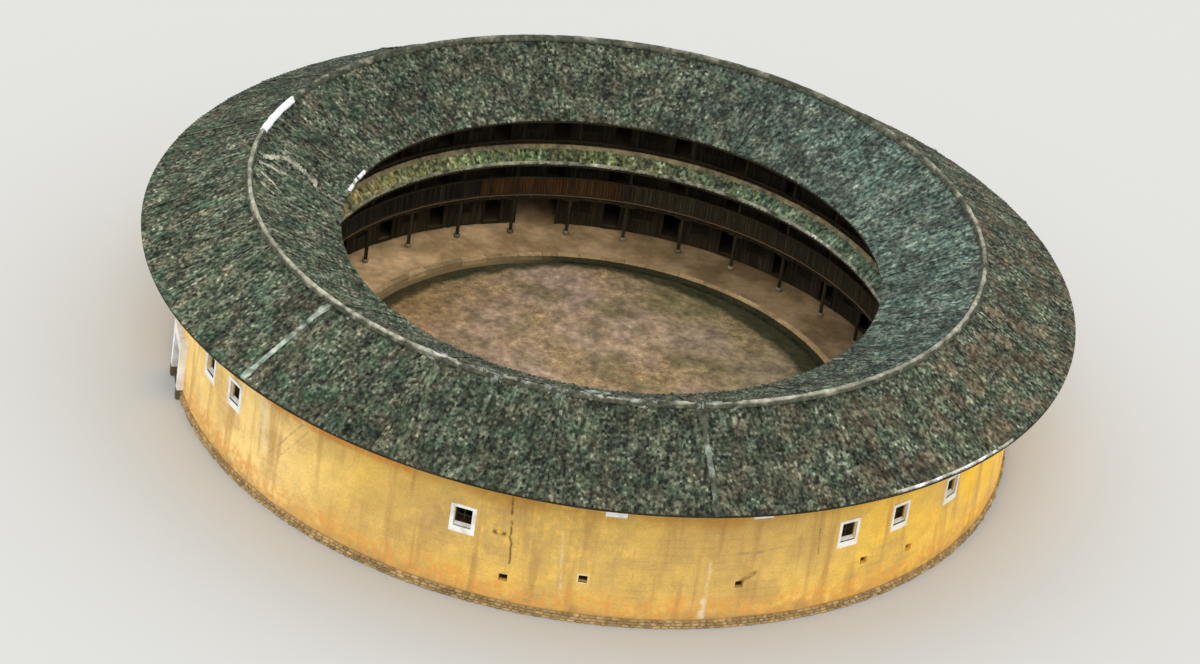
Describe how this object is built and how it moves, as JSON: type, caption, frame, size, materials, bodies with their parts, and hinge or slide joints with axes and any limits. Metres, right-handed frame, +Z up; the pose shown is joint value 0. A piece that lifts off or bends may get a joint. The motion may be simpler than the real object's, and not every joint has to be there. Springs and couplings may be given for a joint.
{
  "type": "tulou roundhouse, 1:2 scale model",
  "caption": "Ring-shaped rammed-earth house with a tiled ring roof, timber galleries and a waist roof round an open courtyard, as a scale model.",
  "frame": {"origin": "centre of the round house at ground level", "axes": "+Z up, the gate faces -X, and -Y is the front that the picture shows"},
  "size_m": [24, 24, 5.545],
  "materials": {
    "rammed_earth": "rough ochre rammed earth with stains and cracks",
    "field_stone": "rough grey-brown field stone",
    "limewash": "matte whitewash",
    "roof_tile": "matte weathered grey tile",
    "ridge_mortar": "pale rough mortar",
    "old_timber": "dark aged unpainted timber",
    "floor_boards": "worn unpainted boards",
    "beaten_floor": "beaten earth and cobbles, dusty"
  },
  "bodies": {
    "root": {"footing_front": "field_stone", "footing_back": "field_stone", "gate_threshold": "field_stone", "outer_wall_left_front": "rammed_earth", "outer_wall_front_left": "rammed_earth", "outer_wall_front_right": "rammed_earth", "outer_wall_right_front": "rammed_earth", "outer_wall_right": "rammed_earth", "outer_wall_right_back": "rammed_earth", "outer_wall_back_right": "rammed_earth", "outer_wall_back_left": "rammed_earth", "outer_wall_left_back": "rammed_earth", "outer_wall_over_gate": "rammed_earth", "gate_surround": "limewash", "ground_floor_front": "field_stone", "ground_floor_back": "field_stone", "courtyard_floor": "beaten_floor", "ground_floor_rooms_front": "old_timber", "ground_floor_rooms_back": "old_timber", "ground_floor_gallery_posts_front": "old_timber", "ground_floor_gallery_posts_back": "old_timber", "second_floor_front": "floor_boards", "second_floor_back": "floor_boards", "second_floor_rooms_front": "old_timber", "second_floor_rooms_back": "old_timber", "second_floor_gallery_posts_front": "old_timber", "second_floor_gallery_posts_back": "old_timber", "second_floor_balustrade": "old_timber", "third_floor_front": "floor_boards", "third_floor_back": "floor_boards", "third_floor_rooms_front": "old_timber", "third_floor_rooms_back": "old_timber", "third_floor_gallery_posts_front": "old_timber", "third_floor_gallery_posts_back": "old_timber", "third_floor_balustrade": "old_timber", "waist_roof_front": "roof_tile", "waist_roof_back": "roof_tile", "outer_roof_front": "roof_tile", "outer_roof_back": "roof_tile", "inner_roof_front": "roof_tile", "inner_roof_back": "roof_tile", "roof_ridge": "ridge_mortar", "ridge_purlin_and_posts_front": "old_timber", "ridge_purlin_and_posts_back": "old_timber"}
  },
  "joints": []
}
